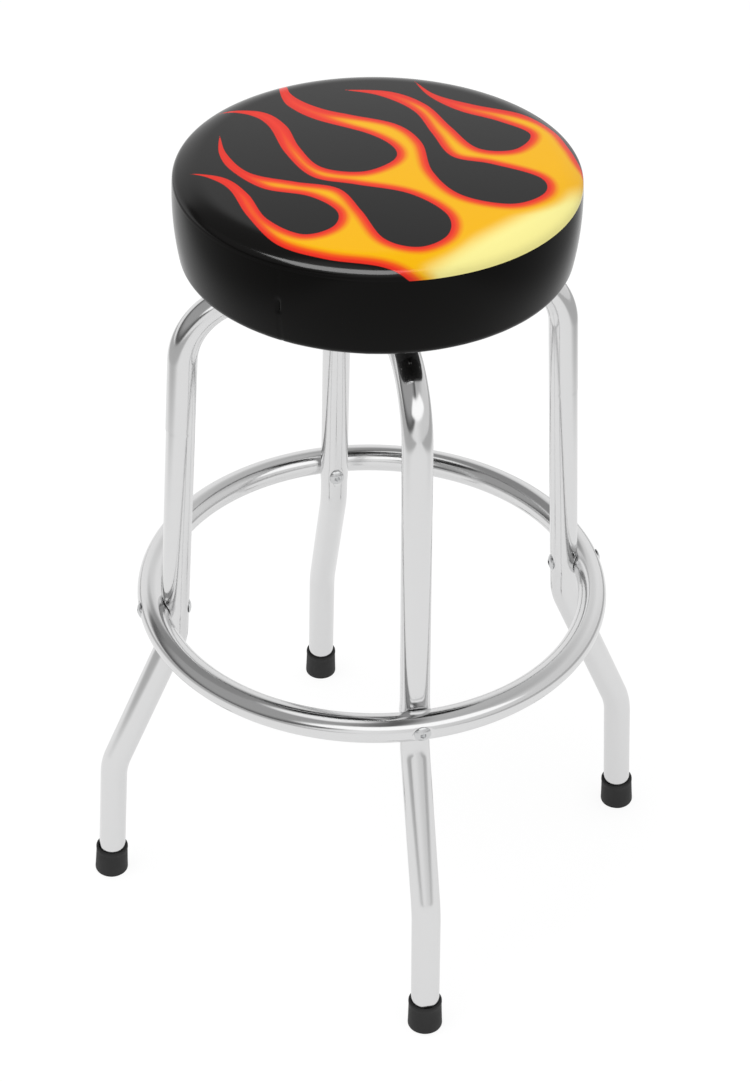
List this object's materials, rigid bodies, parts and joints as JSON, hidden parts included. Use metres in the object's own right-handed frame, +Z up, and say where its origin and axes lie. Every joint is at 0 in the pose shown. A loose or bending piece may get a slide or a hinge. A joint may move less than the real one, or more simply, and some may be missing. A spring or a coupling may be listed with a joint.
{
  "type": "bar stool",
  "caption": "Swivel bar stool: bent chromed tube legs with rubber tips, a ring footrest bolted outside them, and a round padded vinyl seat on a ball-bearing swivel.",
  "frame": {"origin": "on the floor, under the centre of the seat and of the swivel", "axes": "+Z up along the swivel's axis; the four legs point along +X, -X, +Y and -Y"},
  "size_m": [0.5382, 0.5382, 0.7428],
  "materials": {
    "chromed_tube": "polished chrome plate",
    "bright_hardware": "polished nickel-chrome plate",
    "black_rubber": "matte",
    "zinc_steel": "bright zinc plate",
    "black_plate": "satin black",
    "washer_brass": "turned",
    "bearing_steel": "polished",
    "natural_nylon": "matte",
    "plywood": "raw, sanded",
    "foam": "open-cell foam",
    "printed_vinyl": "gloss vinyl with a printed flame pattern",
    "black_vinyl": "gloss vinyl"
  },
  "bodies": {
    "frame": {"leg_arch_left_right": "chromed_tube", "leg_arch_front_back": "chromed_tube", "foot_ring": "chromed_tube", "ring_bolts": "bright_hardware", "ring_barrel_nuts": "bright_hardware", "foot_tips": "black_rubber", "foot_tip_washers": "zinc_steel", "arch_bolts": "zinc_steel", "arch_bolt_washers": "zinc_steel", "plate_weld_nuts": "zinc_steel", "swivel_lower_plate": "black_plate", "swivel_rivet": "zinc_steel", "swivel_thrust_washer": "washer_brass"},
    "ball_ring": {"swivel_balls": "bearing_steel", "swivel_cage": "natural_nylon"},
    "seat": {"swivel_upper_plate": "black_plate", "plate_screws": "zinc_steel", "board_tee_nuts": "zinc_steel", "seat_board": "plywood", "seat_foam": "foam", "cover_top_panel": "printed_vinyl", "cover_side_band": "black_vinyl", "cover_staples": "zinc_steel"}
  },
  "joints": [
    {"name": "seat_swivel", "type": "hinge", "parent": "frame", "child": "seat", "pos_m": [0, 0, 0.6472], "axis": [0, 0, 1], "continuous": true},
    {"name": "ball_ring_orbit", "type": "hinge", "parent": "frame", "child": "ball_ring", "pos_m": [0, 0, 0.6472], "axis": [0, 0, 1], "continuous": true}
  ],
  "couplings": [
    {"joint": "ball_ring_orbit", "follows": "seat_swivel", "ratio": 0.5}
  ]
}
